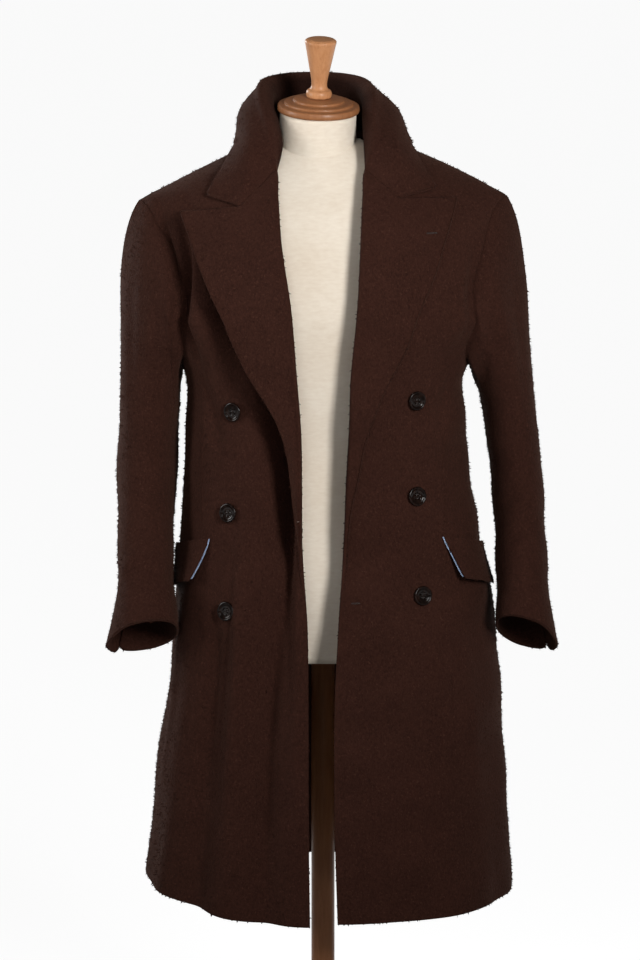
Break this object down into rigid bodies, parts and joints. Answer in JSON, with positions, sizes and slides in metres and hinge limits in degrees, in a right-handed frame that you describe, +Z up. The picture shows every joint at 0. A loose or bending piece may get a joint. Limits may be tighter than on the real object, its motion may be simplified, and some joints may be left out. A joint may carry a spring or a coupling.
{
  "type": "overcoat on dress form",
  "caption": "Knee-length double-breasted overcoat of dark brown napped wool with peak lapels, worn open on a limbless dress form with a wooden neck cap, pole and round base.",
  "frame": {"origin": "centre of the stand's round base, on the floor", "axes": "+Z up along the pole, the coat's front towards -Y, the wearer's left towards +X"},
  "size_m": [0.5988, 0.4, 1.6346],
  "materials": {
    "brown_wool": "thick napped wool",
    "pale_blue_lining": "smooth lining cloth",
    "dark_horn": "polished dark horn",
    "cream_canvas": "tight plain canvas",
    "turned_wood": "satin varnish"
  },
  "bodies": {
    "root": {"front_right": "brown_wool", "front_left": "brown_wool", "back_right": "brown_wool", "back_left": "brown_wool", "lapel_right": "brown_wool", "lapel_left": "brown_wool", "collar": "brown_wool", "sleeve_top_right": "brown_wool", "sleeve_under_right": "brown_wool", "sleeve_top_left": "brown_wool", "sleeve_under_left": "brown_wool", "pocket_flap_right": "brown_wool", "pocket_flap_left": "brown_wool", "flap_lining_right": "pale_blue_lining", "flap_lining_left": "pale_blue_lining", "button_right_1": "dark_horn", "button_right_2": "dark_horn", "button_right_3": "dark_horn", "button_left_1": "dark_horn", "button_left_2": "dark_horn", "button_left_3": "dark_horn", "form_body": "cream_canvas", "form_cap": "turned_wood", "form_finial": "turned_wood", "form_pole": "turned_wood", "form_base": "turned_wood"}
  },
  "joints": []
}
